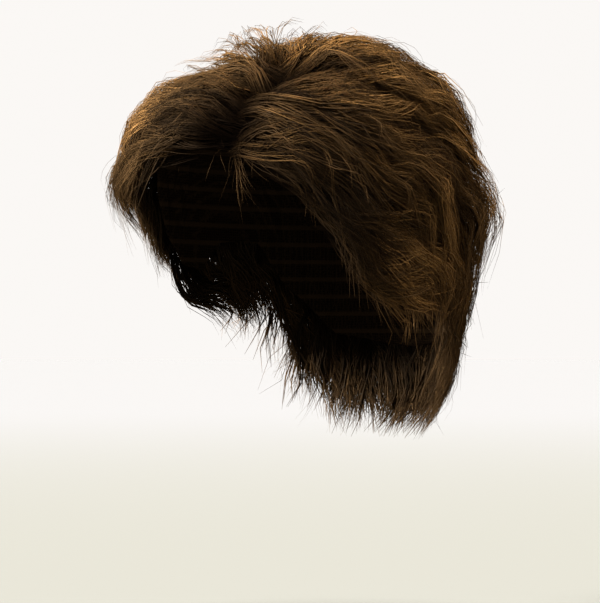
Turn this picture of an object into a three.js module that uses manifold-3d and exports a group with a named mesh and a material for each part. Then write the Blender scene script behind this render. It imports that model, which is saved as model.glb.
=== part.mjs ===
// A short wig of real hair with a side parting: a thin cap shaped to the head, and six sections of
// hair, each a soft mass that follows the comb with its locks fused to it.
// Millimetres, +Z up. The wearer faces -Y, and their left side is +X. The origin is the inside of the
// cap's crown, where the wig sits on the head.

import * as THREE from "three";
import { mergeVertices } from "three/addons/utils/BufferGeometryUtils.js";
import Module from "manifold-3d";

const wasm = await Module();
wasm.setup();

// The head that the cap fits: half a rounded egg above its widest level and a longer half below it.
// A fullness of 2 would make the egg an ellipsoid.
const HEAD_HALF_WIDTH = 77;
const HEAD_HALF_LENGTH = 98;
const CROWN_HEIGHT = 98;
const NECK_DEPTH = 150;
const HEAD_FULLNESS = 2.3;

const CAP_WALL = 1.5;
const GAP = 0.5;
const SEAM_DEG = 0.25;
const CROWN_RISE = 90;

// The rim of the cap on one side. turn is the angle round from the brow, rise the angle above the
// widest level of the head.
const CAP_RIM = [
  { turn: 0, rise: 31 },
  { turn: 28, rise: 28 },
  { turn: 48, rise: 17 },
  { turn: 64, rise: -8 },
  { turn: 78, rise: -11 },
  { turn: 92, rise: 2 },
  { turn: 110, rise: 3 },
  { turn: 124, rise: -14 },
  { turn: 146, rise: -31 },
  { turn: 180, rise: -34 },
];

// The lower edge of the hair at the sides: down the hairline past the temple, then over the ear.
const SIDE_EDGE = [
  { turn: 0, rise: 29 },
  { turn: 30, rise: 25 },
  { turn: 45, rise: 15 },
  { turn: 57, rise: 3 },
  { turn: 64, rise: -9 },
  { turn: 71, rise: -18 },
  { turn: 80, rise: -24 },
  { turn: 90, rise: -29 },
  { turn: 180, rise: -31 },
];

// How the hair lies: at each place, the way that it is combed (towards the left ear, back and up) and
// how far its outside stands off the head. Rows with side 0 hold for both sides. On the parting the
// hair goes both ways, so its row only sets the lift.
const COMB = [
  { side: 1, turn: 17, rise: 48, left: 0, back: 0, up: 0, lift: 11 },
  { side: 1, turn: 17, rise: 34, left: 0, back: 0, up: 0, lift: 10 },
  { side: 1, turn: 2, rise: 40, left: -0.85, back: -0.45, up: 0.2, lift: 26 },
  { side: -1, turn: 14, rise: 52, left: -0.85, back: -0.45, up: -0.1, lift: 33 },
  { side: -1, turn: 24, rise: 34, left: -0.8, back: -0.35, up: -0.45, lift: 34 },
  { side: -1, turn: 42, rise: 26, left: -0.45, back: -0.05, up: -0.9, lift: 34 },
  { side: -1, turn: 50, rise: 14, left: -0.05, back: 0.2, up: -1, lift: 21 },
  { side: -1, turn: 54, rise: 2, left: 0.1, back: 0.4, up: -0.9, lift: 7 },
  { side: 1, turn: 30, rise: 46, left: 0.6, back: 0.65, up: -0.3, lift: 19 },
  { side: 1, turn: 46, rise: 30, left: 0.35, back: 0.6, up: -0.7, lift: 13 },
  { side: 1, turn: 60, rise: 8, left: 0.1, back: 0.6, up: -0.8, lift: 9 },
  { side: 1, turn: 25, rise: 66, left: 0.3, back: 0.9, up: 0.1, lift: 25 },
  { side: -1, turn: 45, rise: 68, left: -0.8, back: 0.15, up: -0.1, lift: 31 },
  { side: -1, turn: 75, rise: 52, left: -0.5, back: 0.35, up: -0.7, lift: 25 },
  { side: 1, turn: 90, rise: 70, left: 0.3, back: 0.9, up: -0.15, lift: 26 },
  { side: 0, turn: 180, rise: 80, left: 0, back: 1, up: -0.2, lift: 30 },
  { side: 0, turn: 74, rise: 4, left: 0, back: 0.5, up: -0.85, lift: 10 },
  { side: 0, turn: 92, rise: -6, left: 0, back: 0.35, up: -0.9, lift: 9 },
  { side: 0, turn: 96, rise: -27, left: 0, back: 0.8, up: -0.55, lift: 9 },
  { side: 0, turn: 82, rise: 24, left: 0, back: 0.75, up: -0.65, lift: 15 },
  { side: 0, turn: 90, rise: 46, left: 0.1, back: 0.9, up: -0.45, lift: 21 },
  { side: 0, turn: 120, rise: 30, left: -0.3, back: 0.55, up: -0.75, lift: 25 },
  { side: 0, turn: 118, rise: -4, left: -0.1, back: 0.4, up: -0.9, lift: 15 },
  { side: 0, turn: 124, rise: -34, left: -0.15, back: 0.05, up: -1, lift: 8 },
  { side: 0, turn: 135, rise: 56, left: -0.1, back: 0.75, up: -0.6, lift: 32 },
  { side: 0, turn: 170, rise: 48, left: 0, back: 0.6, up: -0.8, lift: 31 },
  { side: 0, turn: 150, rise: 18, left: 0, back: 0.1, up: -1, lift: 24 },
  { side: 0, turn: 150, rise: -14, left: 0, back: 0, up: -1, lift: 17 },
  { side: 0, turn: 150, rise: -42, left: 0, back: -0.1, up: -1, lift: 11 },
];
const COMB_REACH_DEG = 13;

// The sections of hair, lowest first. Each has the stretches of soft mass that it is made of and its
// rows of locks. A stretch hangs past an edge by some degrees but no lower than its bottom, which climbs
// by some more towards its last turn. Its underside stands off the head by a share of the lift, and its
// hem is a share of the lift too. A row of locks runs round its rise.
const SECTIONS = [
  {
    name: "nape_hair",
    masses: [
      { from: 108, to: 252, top: -8, edge: CAP_RIM, past: 44, bottom: -50, climb: 0, under: 0, hem: 0.5 },
    ],
    rows: [
      { rise: -28, from: 116, to: 244, locks: 7, length: 52, width: 20, thickness: 7 },
      { rise: -11, from: 128, to: 232, locks: 5, length: 50, width: 20, thickness: 7 },
    ],
  },
  {
    name: "back_hair",
    masses: [
      { from: 108, to: 252, top: 58, edge: CAP_RIM, past: 9, bottom: -8, climb: 0, under: 0, hem: 0.85 },
    ],
    rows: [
      { rise: 18, from: 116, to: 244, locks: 6, length: 70, width: 22, thickness: 8 },
      { rise: 47, from: 126, to: 234, locks: 5, length: 70, width: 22, thickness: 8 },
    ],
  },
  {
    name: "left_side_hair",
    masses: [
      { from: 19, to: 108, top: 58, edge: SIDE_EDGE, past: 0, bottom: -31, climb: 0, under: 0, hem: 0.6 },
    ],
    rows: [
      { rise: 4, from: 64, to: 96, locks: 3, length: 64, width: 18, thickness: 7 },
      { rise: 30, from: 42, to: 90, locks: 4, length: 76, width: 20, thickness: 8 },
      { rise: 50, from: 26, to: 76, locks: 3, length: 90, width: 22, thickness: 8 },
    ],
  },
  {
    name: "right_side_hair",
    masses: [
      { from: 252, to: 310, top: 58, edge: SIDE_EDGE, past: 0, bottom: -31, climb: 0, under: 0, hem: 0.6 },
    ],
    rows: [
      { rise: 4, from: 264, to: 296, locks: 3, length: 64, width: 18, thickness: 7 },
      { rise: 36, from: 266, to: 300, locks: 3, length: 72, width: 20, thickness: 8 },
    ],
  },
  {
    name: "top_hair",
    masses: [{ top: CROWN_RISE, bottom: 58, under: 0, hem: 0.85 }],
    rows: [
      { rise: 70, from: 30, to: 150, locks: 4, length: 76, width: 24, thickness: 9 },
      { rise: 72, from: 200, to: 330, locks: 4, length: 72, width: 24, thickness: 9 },
    ],
  },
  {
    name: "fringe",
    masses: [
      { from: 310, to: 379, top: 58, edge: CAP_RIM, past: 0, bottom: 20, climb: 0, under: 0, hem: 0.85 },
      { from: 305, to: 354, top: 36, edge: CAP_RIM, past: 50, bottom: 3, climb: 26, under: 0.5, hem: 0.85 },
    ],
    rows: [
      { rise: 42, from: 322, to: 370, locks: 4, length: 88, width: 18, thickness: 7 },
      { rise: 54, from: 322, to: 370, locks: 4, length: 96, width: 20, thickness: 8 },
    ],
  },
];

// A lock's outline along its length: the shares of its width and thickness, and of the hair's lift.
const LOCK_STATIONS = [
  { along: 0, width: 0.1, thickness: 0.2, lift: 0.75 },
  { along: 0.3, width: 0.9, thickness: 0.9, lift: 0.84 },
  { along: 0.65, width: 1, thickness: 1, lift: 0.86 },
  { along: 1, width: 0.08, thickness: 0.2, lift: 0.93 },
];
const LOCK_SIDES = 4;
const COMB_STEPS = 20;
const CAP_RINGS = 7;
const CAP_SEGMENTS = 32;
const TOP_RINGS = 3;
const MASS_CELL_DEG = 12;
const MASS_SHARE = 0.85;
const THINNEST_MASS = 2.5;
const HEM_EASE = 0.5;
const MERGE_DISTANCE = 0.001;

const HAIR = new THREE.MeshStandardMaterial({ color: 0x3a2414, roughness: 0.5, metalness: 0 });
const CAP_NET = new THREE.MeshStandardMaterial({ color: 0x2b1d14, roughness: 0.9, metalness: 0 });
const CENTRE = new THREE.Vector3(0, 0, -CROWN_HEIGHT);
const { degToRad, radToDeg, lerp, smoothstep } = THREE.MathUtils;

// The way out from the middle of the head at a turn and a rise.
function outward(turn, rise) {
  const t = degToRad(turn);
  const r = degToRad(rise);
  return new THREE.Vector3(Math.sin(t) * Math.cos(r), -Math.cos(t) * Math.cos(r), Math.sin(r));
}

// The point at a height above the head, along one way out.
function aboveHead(way, height) {
  const shares = [
    way.x / HEAD_HALF_WIDTH,
    way.y / HEAD_HALF_LENGTH,
    way.z / (way.z < 0 ? NECK_DEPTH : CROWN_HEIGHT),
  ];
  const sum = shares.reduce((total, share) => total + Math.abs(share) ** HEAD_FULLNESS, 0);
  return CENTRE.clone().addScaledVector(way, sum ** (-1 / HEAD_FULLNESS) + height);
}

// The rise of an edge at a turn, eased between the rows of its table.
function edgeRise(edge, turn) {
  const side = Math.abs(((((turn + 180) % 360) + 360) % 360) - 180);
  const next = Math.max(1, edge.findIndex((row) => row.turn >= side));
  const [a, b] = [edge[next - 1], edge[next]];
  return lerp(a.rise, b.rise, smoothstep(side, a.turn, b.turn));
}

const COMB_PLACES = COMB.flatMap(({ side, turn, rise, left, back, up, lift }) =>
  (side ? [side] : [1, -1]).map((s) => ({
    place: outward(s * turn, rise),
    way: new THREE.Vector3(side ? left : s * left, back, up).normalize(),
    lift,
  })),
);

// The way that the hair is combed at one place on the head, and its lift there.
function combAt(place) {
  const way = new THREE.Vector3();
  let lift = 0;
  let total = 0;
  for (const row of COMB_PLACES) {
    const share = Math.exp(-((place.angleTo(row.place) / degToRad(COMB_REACH_DEG)) ** 2));
    way.addScaledVector(row.way, share);
    lift += row.lift * share;
    total += share;
  }
  way.addScaledVector(place, -way.dot(place)).normalize();
  return { way, lift: lift / total };
}

// Follows the comb from a root for a length, and gives the place, way and lift at even steps.
function combed(root, length) {
  const path = [];
  const place = root.clone();
  for (let i = 0; i <= COMB_STEPS; i++) {
    const { way, lift } = combAt(place);
    path.push({ place: place.clone(), way, lift });
    const out = aboveHead(place, lift).distanceTo(CENTRE);
    place.addScaledVector(way, length / COMB_STEPS / out).normalize();
  }
  return path;
}

// A closed geometry as a solid, with its doubled vertices merged and its flat faces dropped.
function solid(geometry) {
  geometry.deleteAttribute("normal");
  geometry.deleteAttribute("uv");
  const merged = mergeVertices(geometry, MERGE_DISTANCE);
  const triVerts = [];
  for (let i = 0; i < merged.index.count; i += 3) {
    const [a, b, c] = [0, 1, 2].map((k) => merged.index.getX(i + k));
    if (a !== b && b !== c && c !== a) triVerts.push(a, b, c);
  }
  const vertProperties = merged.attributes.position.array;
  return new wasm.Manifold(
    new wasm.Mesh({ numProp: 3, vertProperties, triVerts: new Uint32Array(triVerts) }),
  );
}

// Moves every vertex of a geometry to where a function puts it.
function reshape(geometry, place) {
  const position = geometry.attributes.position;
  const v = new THREE.Vector3();
  for (let i = 0; i < position.count; i++) {
    v.copy(place(v.fromBufferAttribute(position, i)));
    position.setXYZ(i, v.x, v.y, v.z);
  }
  return geometry;
}

// A flat round blank, blocked over the head down to a rim. height gives each side's place.
function dome(rings, rim, height) {
  const shares = Array.from({ length: rings + 1 }, (_, i) => i / rings);
  const under = shares.map((s) => new THREE.Vector2(s, 0));
  const over = shares.map((s) => new THREE.Vector2(s, 1)).reverse();
  const blank = new THREE.LatheGeometry([...under, ...over], CAP_SEGMENTS);
  return solid(
    reshape(blank, ({ x, y, z }) => {
      const turn = radToDeg(Math.atan2(x, z));
      const drop = Math.min(1, Math.hypot(x, z));
      const place = outward(turn, lerp(CROWN_RISE, rim(turn), drop));
      return aboveHead(place, height(place, 1 - drop, y > 0.5));
    }),
  );
}

// A flat square blank, blocked over one stretch of the head.
function pad({ from, to, top, edge, past, bottom, climb }, grow, height) {
  const cells = (degrees) => Math.max(2, Math.round(degrees / MASS_CELL_DEG));
  const blank = new THREE.BoxGeometry(1, 1, 1, cells(to - from), cells(top - bottom), 1);
  return solid(
    reshape(blank, ({ x, y, z }) => {
      const turn = lerp(from - grow, to + grow, x + 0.5);
      const low = Math.max(bottom + climb * (x + 0.5), edgeRise(edge, turn) - past) - grow;
      const place = outward(turn, lerp(low, top + grow, y + 0.5));
      return aboveHead(place, height(place, y + 0.5, z > 0));
    }),
  );
}

// One stretch of soft mass, swollen on every side by a margin.
function mass(stretch, margin) {
  const grow = margin ? SEAM_DEG : 0;
  const height = (place, rise, outside) => {
    const { lift } = combAt(place);
    const inner = Math.max(CAP_WALL + GAP, stretch.under * lift);
    const share = lerp(stretch.hem, MASS_SHARE, smoothstep(rise, 0, HEM_EASE));
    return outside ? Math.max(inner + THINNEST_MASS, lift * share) + margin : inner - margin;
  };
  return stretch.top === CROWN_RISE
    ? dome(TOP_RINGS, () => stretch.bottom - grow, height)
    : pad(stretch, grow, height);
}

// One lock: a four-sided bar bent along the comb, full in the middle and drawn out to a tip.
function lock(root, { length, width, thickness }, grow) {
  const path = combed(root, length);
  const section = new THREE.Shape(
    Array.from({ length: LOCK_SIDES }, (_, i) => {
      const angle = (i / LOCK_SIDES) * 2 * Math.PI;
      return new THREE.Vector2(Math.cos(angle) / 2, Math.sin(angle) / 2);
    }),
  );
  const bar = new THREE.ExtrudeGeometry(section, {
    depth: LOCK_STATIONS.length - 1,
    steps: LOCK_STATIONS.length - 1,
    bevelEnabled: false,
  });
  return solid(
    reshape(bar, ({ x, y, z }) => {
      const station = LOCK_STATIONS[Math.round(z)];
      const at = path[Math.round(station.along * COMB_STEPS)];
      const aside = new THREE.Vector3().crossVectors(at.place, at.way);
      const height = at.lift * station.lift + y * (thickness * station.thickness + 2 * grow);
      return aboveHead(at.place, height)
        .addScaledVector(aside, x * (width * station.width + 2 * grow))
        .addScaledVector(at.way, grow * (2 * station.along - 1));
    }),
  );
}

// A section's masses with all its locks fused to them, swollen on every side by a margin.
function section({ masses, rows }, margin) {
  const pieces = masses.map((stretch) => mass(stretch, margin));
  for (const row of rows) {
    for (let i = 0; i < row.locks; i++) {
      const turn = lerp(row.from, row.to, i / (row.locks - 1));
      pieces.push(lock(outward(turn, row.rise), row, margin));
    }
  }
  return pieces.reduce((made, piece) => made.add(piece));
}

// A solid as a named mesh of its own.
function mesh(name, made, material) {
  const { numProp, numVert, vertProperties, triVerts } = made.getMesh();
  const places = new Float32Array(numVert * 3);
  for (let i = 0; i < numVert; i++) {
    places.set(vertProperties.subarray(i * numProp, i * numProp + 3), i * 3);
  }
  const geometry = new THREE.BufferGeometry();
  geometry.setAttribute("position", new THREE.BufferAttribute(places, 3));
  geometry.setIndex(new THREE.BufferAttribute(triVerts, 1));
  geometry.computeVertexNormals();
  const shown = new THREE.Mesh(geometry, material);
  shown.name = name;
  return shown;
}

const wig = new THREE.Group();
wig.name = "wig";
const rimRise = (turn) => edgeRise(CAP_RIM, turn);
const capWall = (margin) => (place, rise, outside) => (outside ? CAP_WALL + margin : -margin);
wig.add(mesh("cap", dome(CAP_RINGS, rimRise, capWall(0)), CAP_NET));

// Each section is cut clear of the cap and of the sections that lie under it.
let under = dome(CAP_RINGS, rimRise, capWall(GAP));
for (const row of SECTIONS) {
  const pieces = section(row, 0).subtract(under).decompose();
  const whole = pieces.reduce((a, b) => (a.volume() > b.volume() ? a : b));
  wig.add(mesh(row.name, whole, HAIR));
  under = under.add(section(row, GAP)).add(whole);
}

export default wig;
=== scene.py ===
"""A short wig of real hair with a side parting: strands combed over its cap in six sections, with the
wisps and loose hairs that fall outside them. The hair's own measures are in millimetres and degrees, and
Blender's are in metres. The wearer faces -Y, and their left side is +X."""

import math
from typing import NamedTuple

import bpy
import numpy as np
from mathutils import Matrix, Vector


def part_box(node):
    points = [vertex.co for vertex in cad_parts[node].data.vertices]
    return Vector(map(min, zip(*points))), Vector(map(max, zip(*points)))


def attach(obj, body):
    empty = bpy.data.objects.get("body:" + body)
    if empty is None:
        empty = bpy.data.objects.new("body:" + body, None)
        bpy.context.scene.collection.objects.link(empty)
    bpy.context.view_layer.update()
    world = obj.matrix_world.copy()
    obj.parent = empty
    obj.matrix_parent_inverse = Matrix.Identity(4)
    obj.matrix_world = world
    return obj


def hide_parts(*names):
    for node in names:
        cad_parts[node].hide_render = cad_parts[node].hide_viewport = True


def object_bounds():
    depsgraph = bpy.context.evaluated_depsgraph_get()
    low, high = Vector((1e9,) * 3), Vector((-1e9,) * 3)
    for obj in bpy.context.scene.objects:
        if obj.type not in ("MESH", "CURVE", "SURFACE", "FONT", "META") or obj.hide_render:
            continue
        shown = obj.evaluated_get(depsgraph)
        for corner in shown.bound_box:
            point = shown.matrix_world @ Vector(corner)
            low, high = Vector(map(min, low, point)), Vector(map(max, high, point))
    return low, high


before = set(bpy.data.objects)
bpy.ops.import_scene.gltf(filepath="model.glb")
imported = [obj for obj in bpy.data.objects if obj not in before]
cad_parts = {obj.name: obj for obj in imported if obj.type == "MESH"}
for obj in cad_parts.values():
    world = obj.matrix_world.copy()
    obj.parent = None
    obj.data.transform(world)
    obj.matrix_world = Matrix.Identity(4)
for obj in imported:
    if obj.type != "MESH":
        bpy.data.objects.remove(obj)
CAD_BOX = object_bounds()

bl_info = {
    "name": "Real hair wig",
    "version": (1, 0, 0),
    "blender": (4, 5, 0),
    "location": "View3D > Sidebar > Wig",
    "description": "Combs real hair over a wig's cap, lock by lock",
    "category": "Add Mesh",
}

BODY = "root"
MM = 0.001

# The form that the cap follows: half a rounded egg above its widest level and a longer half below it.
CAP_WALL = 1.5
CAP_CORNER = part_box("cap")[1] / MM
FORM_HALF_WIDTH = CAP_CORNER.x - CAP_WALL
FORM_HALF_LENGTH = CAP_CORNER.y - CAP_WALL
CROWN_HEIGHT = 98.0
NECK_DEPTH = 150.0
FORM_FULLNESS = 2.3
CENTRE = np.array((0.0, 0.0, -CROWN_HEIGHT))

# The parting runs back from the hairline, this far to the wearer's left, and ends before the crown. Close to
# it some roots fall to the other bank, so that the hair crosses over.
PARTING = 31.0
PARTING_END = -46.0
CROSSING = 7.0
CROSSING_SHARE = 0.4


class Edge(NamedTuple):
    """One point of an edge on the form: the angle round from the front to the left, and the angle above the
    widest level."""

    turn: float
    rise: float


CAP_RIM = (
    Edge(0, 31),
    Edge(28, 28),
    Edge(48, 17),
    Edge(64, -8),
    Edge(78, -11),
    Edge(92, 2),
    Edge(110, 3),
    Edge(124, -14),
    Edge(146, -31),
    Edge(180, -34),
)
# Where the tips end: along the front, down to the lowest point of the side hair, and round the nape.
HEM = (
    Edge(0, 22),
    Edge(30, 21),
    Edge(45, 12),
    Edge(57, 1),
    Edge(64, -11),
    Edge(71, -20),
    Edge(80, -26),
    Edge(90, -31),
    Edge(102, -32),
    Edge(107, -44),
    Edge(116, -52),
    Edge(130, -57),
    Edge(150, -60),
    Edge(180, -61),
)
# The fringe sweeps out past the hairline and hangs in front of the right side.
FRINGE_HEM = (
    Edge(-180, -12),
    Edge(-62, -12),
    Edge(-50, 1),
    Edge(-36, 7),
    Edge(-16, 14),
    Edge(0, 23),
    Edge(180, 24),
)


class Comb(NamedTuple):
    """How the hair lies at one place: on which side of the wig and on which bank of the parting it is (0 is
    both), its turn and rise there, the way that it is combed, to the left, back and up, how far its outside
    stands off the form, and its length."""

    side: int
    bank: int
    turn: float
    rise: float
    left: float
    back: float
    up: float
    lift: float
    length: float


COMBING = (
    Comb(1, -1, 20, 36, -0.9, -0.3, 0.3, 18, 88),
    Comb(1, -1, 24, 52, -0.9, -0.2, 0.3, 21, 96),
    Comb(1, 1, 21, 36, 0.8, 0.5, 0.0, 12, 100),
    Comb(1, 1, 26, 52, 0.6, 0.8, 0.1, 16, 100),
    Comb(1, 0, 10, 72, -0.6, 0.4, 0.0, 20, 76),
    Comb(-1, 0, 20, 78, -0.6, 0.5, 0.0, 21, 80),
    Comb(1, -1, 2, 40, -0.85, -0.45, 0.2, 22, 90),
    Comb(-1, -1, 14, 52, -0.85, -0.4, -0.1, 13, 96),
    Comb(-1, -1, 24, 34, -0.8, -0.35, -0.45, 33, 86),
    Comb(-1, -1, 42, 46, -0.75, -0.1, -0.6, 32, 88),
    Comb(-1, -1, 42, 26, -0.4, 0.1, -0.9, 28, 68),
    Comb(-1, -1, 50, 14, 0.05, 0.4, -0.9, 18, 56),
    Comb(-1, 0, 54, 2, 0.1, 0.5, -0.8, 7, 52),
    Comb(1, 1, 32, 44, 0.6, 0.65, -0.2, 18, 96),
    Comb(1, 1, 46, 30, 0.35, 0.65, -0.5, 13, 98),
    Comb(1, 1, 60, 8, 0.1, 0.5, -0.75, 9, 84),
    Comb(1, 1, 27, 66, 0.3, 0.9, 0.1, 17, 92),
    Comb(-1, -1, 45, 68, -0.85, 0.05, -0.1, 17, 92),
    Comb(-1, 0, 75, 52, -0.6, 0.12, -0.75, 22, 88),
    Comb(1, 0, 90, 70, 0.3, 0.9, -0.1, 30, 88),
    Comb(0, 0, 180, 80, 0, 1, -0.2, 31, 84),
    Comb(0, 0, 74, 4, 0, 0.7, -0.6, 10, 80),
    Comb(0, 0, 92, -6, 0, 0.75, -0.6, 9, 72),
    Comb(0, 0, 96, -27, 0, 1, -0.4, 9, 50),
    Comb(1, 0, 82, 24, 0, 0.85, -0.35, 15, 94),
    Comb(1, 0, 90, 46, 0.1, 0.9, -0.2, 20, 100),
    Comb(-1, 0, 82, 24, 0, 0.55, -0.75, 15, 90),
    Comb(-1, 0, 92, 46, -0.2, 0.4, -0.8, 19, 96),
    Comb(0, 0, 120, 30, -0.3, 0.6, -0.65, 20.5, 92),
    Comb(0, 0, 118, -4, -0.1, 0.4, -0.9, 12, 84),
    Comb(0, 0, 124, -34, -0.15, 0.05, -1, 7, 60),
    Comb(0, 0, 135, 56, -0.1, 0.75, -0.6, 35, 96),
    Comb(0, 0, 170, 48, 0, 0.6, -0.8, 34, 96),
    Comb(0, 0, 150, 12, 0, 0.1, -1, 28.5, 88),
    Comb(0, 0, 150, -16, -0.08, 0, -1, 11.5, 76),
    Comb(0, 0, 150, -42, -0.16, -0.1, -1, 7, 60),
)
# How far round each place its way of combing reaches, and the steps in which a lock follows the comb.
COMB_REACH = math.radians(13)
COMB_STEP = 4.0
COMB_STEPS = 32


class Section(NamedTuple):
    """One section of hair: its name and its seed for what is random, the gap between the roots of its
    locks, about how many strands it has in all, how many in a tuft, the points along a strand, how steeply
    the hair springs from its roots, how far the tips may flick out, how many degrees the locks veer from the
    comb, and the lowest and highest layer of its locks as a share of the hair's lift. The last two are the
    width of its locks and the lightness of their tones, as shares of the usual. That lightness is painted
    light and shade: a section is painted lighter where the light falls full on it and darker where less
    falls."""

    name: str
    seed: int
    gap: float
    strands: int
    tuft: int
    points: int
    spring: float
    flick: float
    veer: float
    low: float
    high: float
    spread: float = 1.0
    light: float = 1.0


# The lightness given to each section is painted light and shade, not a difference in the hair's colour.
SECTIONS = (
    Section("nape_hair", 11, 8.0, 4000, 6, 6, 1.7, 2.0, 7, 0.5, 1.0),
    Section("back_hair", 12, 10.0, 4700, 6, 7, 1.9, 2.0, 8, 0.84, 1.0, light=0.9),
    Section("left_side_hair", 13, 10.0, 4300, 6, 8, 2.4, 2.0, 7, 0.5, 1.1, light=1.28),
    Section("right_side_hair", 14, 10.0, 3500, 6, 7, 2.2, 3.0, 9, 0.6, 1.05, light=0.85),
    Section("top_hair", 15, 10.0, 3900, 6, 8, 4.0, 4.0, 12, 0.74, 1.0, light=1.12),
    Section("fringe", 16, 10.0, 2850, 6, 9, 4.0, 4.0, 10, 0.6, 1.0, light=1.65),
)
LOOSE_HAIR = Section("loose_hair", 17, 9.0, 520, 1, 12, 2.2, 6.0, 14, 0.95, 1.1)
BROW_WISPS = Section("brow_wisps", 18, 0.0, 60, 1, 9, 1.6, 2.0, 12, 0.5, 1.1, 0.1)
PARTING_TUFTS = Section("parting_tufts", 19, 0.0, 360, 6, 7, 1.2, 4.0, 26, 1.0, 2.3, 0.8)
# Where one section ends and the next begins.
TOP_RISE = 58
NAPE_RISE = -8
BACK_TURN = 108
FRINGE_TURN = -50
# Between these turns the hair on the right bank ends at the fringe's hem.
FRINGE_HEM_TURNS = (-75, 90)
ROOT_CANDIDATES = 30000
# The roots stand closer along the parting, behind its end, along the cap's rim and where the hair forks at
# the crown. Their gap there is this share of the usual one.
CLOSE_GAP = 0.5
CLOSE_TO_PARTING = 12.0
CLOSE_BEHIND = 30.0
CLOSE_TO_RIM = 6
CROWN_FORK = (-115, 56)
CLOSE_TO_FORK = 24


def outward(turn, rise):
    """The way out from the middle of the form at a turn and a rise, in degrees."""
    t, r = np.radians(turn), np.radians(rise)
    return np.stack([np.sin(t) * np.cos(r), -np.cos(t) * np.cos(r), np.sin(r) + 0 * t], axis=-1)


def angles(ways):
    """The turn and the rise of each way out, in degrees."""
    turn = np.degrees(np.arctan2(ways[..., 0], -ways[..., 1]))
    return turn, np.degrees(np.arcsin(np.clip(ways[..., 2], -1, 1)))


def unit(vectors):
    """Each vector at a length of 1."""
    return vectors / np.linalg.norm(vectors, axis=-1, keepdims=True)


def form_reach(ways):
    """How far the form reaches along each way out from its middle."""
    depth = np.where(ways[..., 2] < 0, NECK_DEPTH, CROWN_HEIGHT)
    width = np.full_like(depth, FORM_HALF_WIDTH)
    length = np.full_like(depth, FORM_HALF_LENGTH)
    halves = np.stack([width, length, depth], axis=-1)
    return (np.abs(ways / halves) ** FORM_FULLNESS).sum(-1) ** (-1 / FORM_FULLNESS)


def over_form(ways, height):
    """The points at a height above the form, along each way out."""
    return CENTRE + ways * (form_reach(ways) + height)[..., None]


def edge_rise(edge, turn):
    """The rise of an edge at each turn, in degrees."""
    return np.interp(turn, [point.turn for point in edge], [point.rise for point in edge])


def comb_rows():
    """The rows of the comb as arrays, with the rows for both sides given once for each."""
    rows = [(row, side) for row in COMBING for side in ((row.side,) if row.side else (1, -1))]
    turn = np.array([side * row.turn for row, side in rows])
    places = outward(turn, np.array([row.rise for row, _ in rows]))
    ways = np.array([(row.left if row.side else side * row.left, row.back, row.up) for row, side in rows])
    measures = np.array([(row.lift, row.length) for row, _ in rows])
    banks = np.array([row.bank for row, _ in rows])
    return places, unit(ways), measures, banks


COMB_PLACES, COMB_WAYS, COMB_MEASURES, COMB_BANKS = comb_rows()


def comb_at(places, banks):
    """The way that the hair is combed at each place, and its lift and length there."""
    apart = np.arccos(np.clip(places @ COMB_PLACES.T, -1, 1))
    share = np.exp(-((apart / COMB_REACH) ** 2)) * (COMB_BANKS * banks[:, None] >= 0)
    ways = share @ COMB_WAYS
    ways = unit(ways - places * (ways * places).sum(-1, keepdims=True))
    lift, length = (share @ COMB_MEASURES / share.sum(-1, keepdims=True)).T
    return ways, lift, length


def follow(comb, roots, swing, settle=None):
    """Follows a comb from each root in even steps, swung by an angle at each step and then settled, and
    gives the place, the way and the lift there."""
    places = roots
    path = []
    for step in range(COMB_STEPS + 1):
        ways, lift = comb(places)
        aside = np.cross(places, ways)
        ways = ways * np.cos(swing[:, step, None]) + aside * np.sin(swing[:, step, None])
        if settle:
            ways = settle(ways, places)
        path.append(np.concatenate([places, ways, lift[:, None]], axis=-1))
        places = unit(places + ways * (COMB_STEP / (form_reach(places) + lift))[:, None])
    return np.stack(path, axis=1)


def hem_distance(path, banks):
    """How far each path runs from its root before it passes the hem."""
    turn, rise = angles(path[..., :3])
    first_turn, last_turn = FRINGE_HEM_TURNS
    fringe = (banks[:, None] < 0) & (turn > first_turn) & (turn < last_turn)
    passed = rise < np.where(fringe, edge_rise(FRINGE_HEM, turn), edge_rise(HEM, np.abs(turn)))
    first = np.where(passed.any(axis=1), passed.argmax(axis=1), COMB_STEPS)
    return first * COMB_STEP


def section_at(ways):
    """The name of the section that a root belongs to, and its bank of the parting."""
    turn, rise = angles(ways)
    bank = np.where(over_form(ways, CAP_WALL)[..., 0] > PARTING, 1, -1)
    behind = np.abs(turn) > BACK_TURN
    name = np.select(
        [
            rise > TOP_RISE,
            behind & (rise < NAPE_RISE),
            behind,
            bank > 0,
            turn < FRINGE_TURN,
        ],
        ["top_hair", "nape_hair", "back_hair", "left_side_hair", "right_side_hair"],
        "fringe",
    )
    return name, bank


def lock_roots(section, rng):
    """The ways out to the roots of a section's locks, spread over its stretch of the cap at even gaps."""
    i = np.arange(ROOT_CANDIDATES) + 0.5
    golden = math.degrees(math.pi * (1 + math.sqrt(5)))
    ways = outward(golden * i, np.degrees(np.arcsin(1 - 2 * i / ROOT_CANDIDATES)))
    turn, rise = angles(ways)
    inside = rise > edge_rise(CAP_RIM, np.abs(turn))
    if section is not LOOSE_HAIR:
        inside &= section_at(ways)[0] == section.name
    ways = ways[inside]
    points = over_form(ways, CAP_WALL)
    by_parting = np.abs(points[:, 0] - PARTING) < CLOSE_TO_PARTING
    by_parting &= points[:, 1] < PARTING_END + CLOSE_BEHIND
    by_rim = (rise - edge_rise(CAP_RIM, np.abs(turn)) < CLOSE_TO_RIM)[inside]
    by_fork = ways @ outward(*CROWN_FORK) > math.cos(math.radians(CLOSE_TO_FORK))
    gap = section.gap * np.where(by_parting | by_rim | by_fork, CLOSE_GAP, 1)
    chosen = np.empty((0, 3))
    kept = []
    for k in rng.permutation(len(ways)):
        if not len(kept) or ((chosen - points[k]) ** 2).sum(-1).min() > gap[k] ** 2:
            kept.append(k)
            chosen = points[kept]
    return ways[kept]


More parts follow.
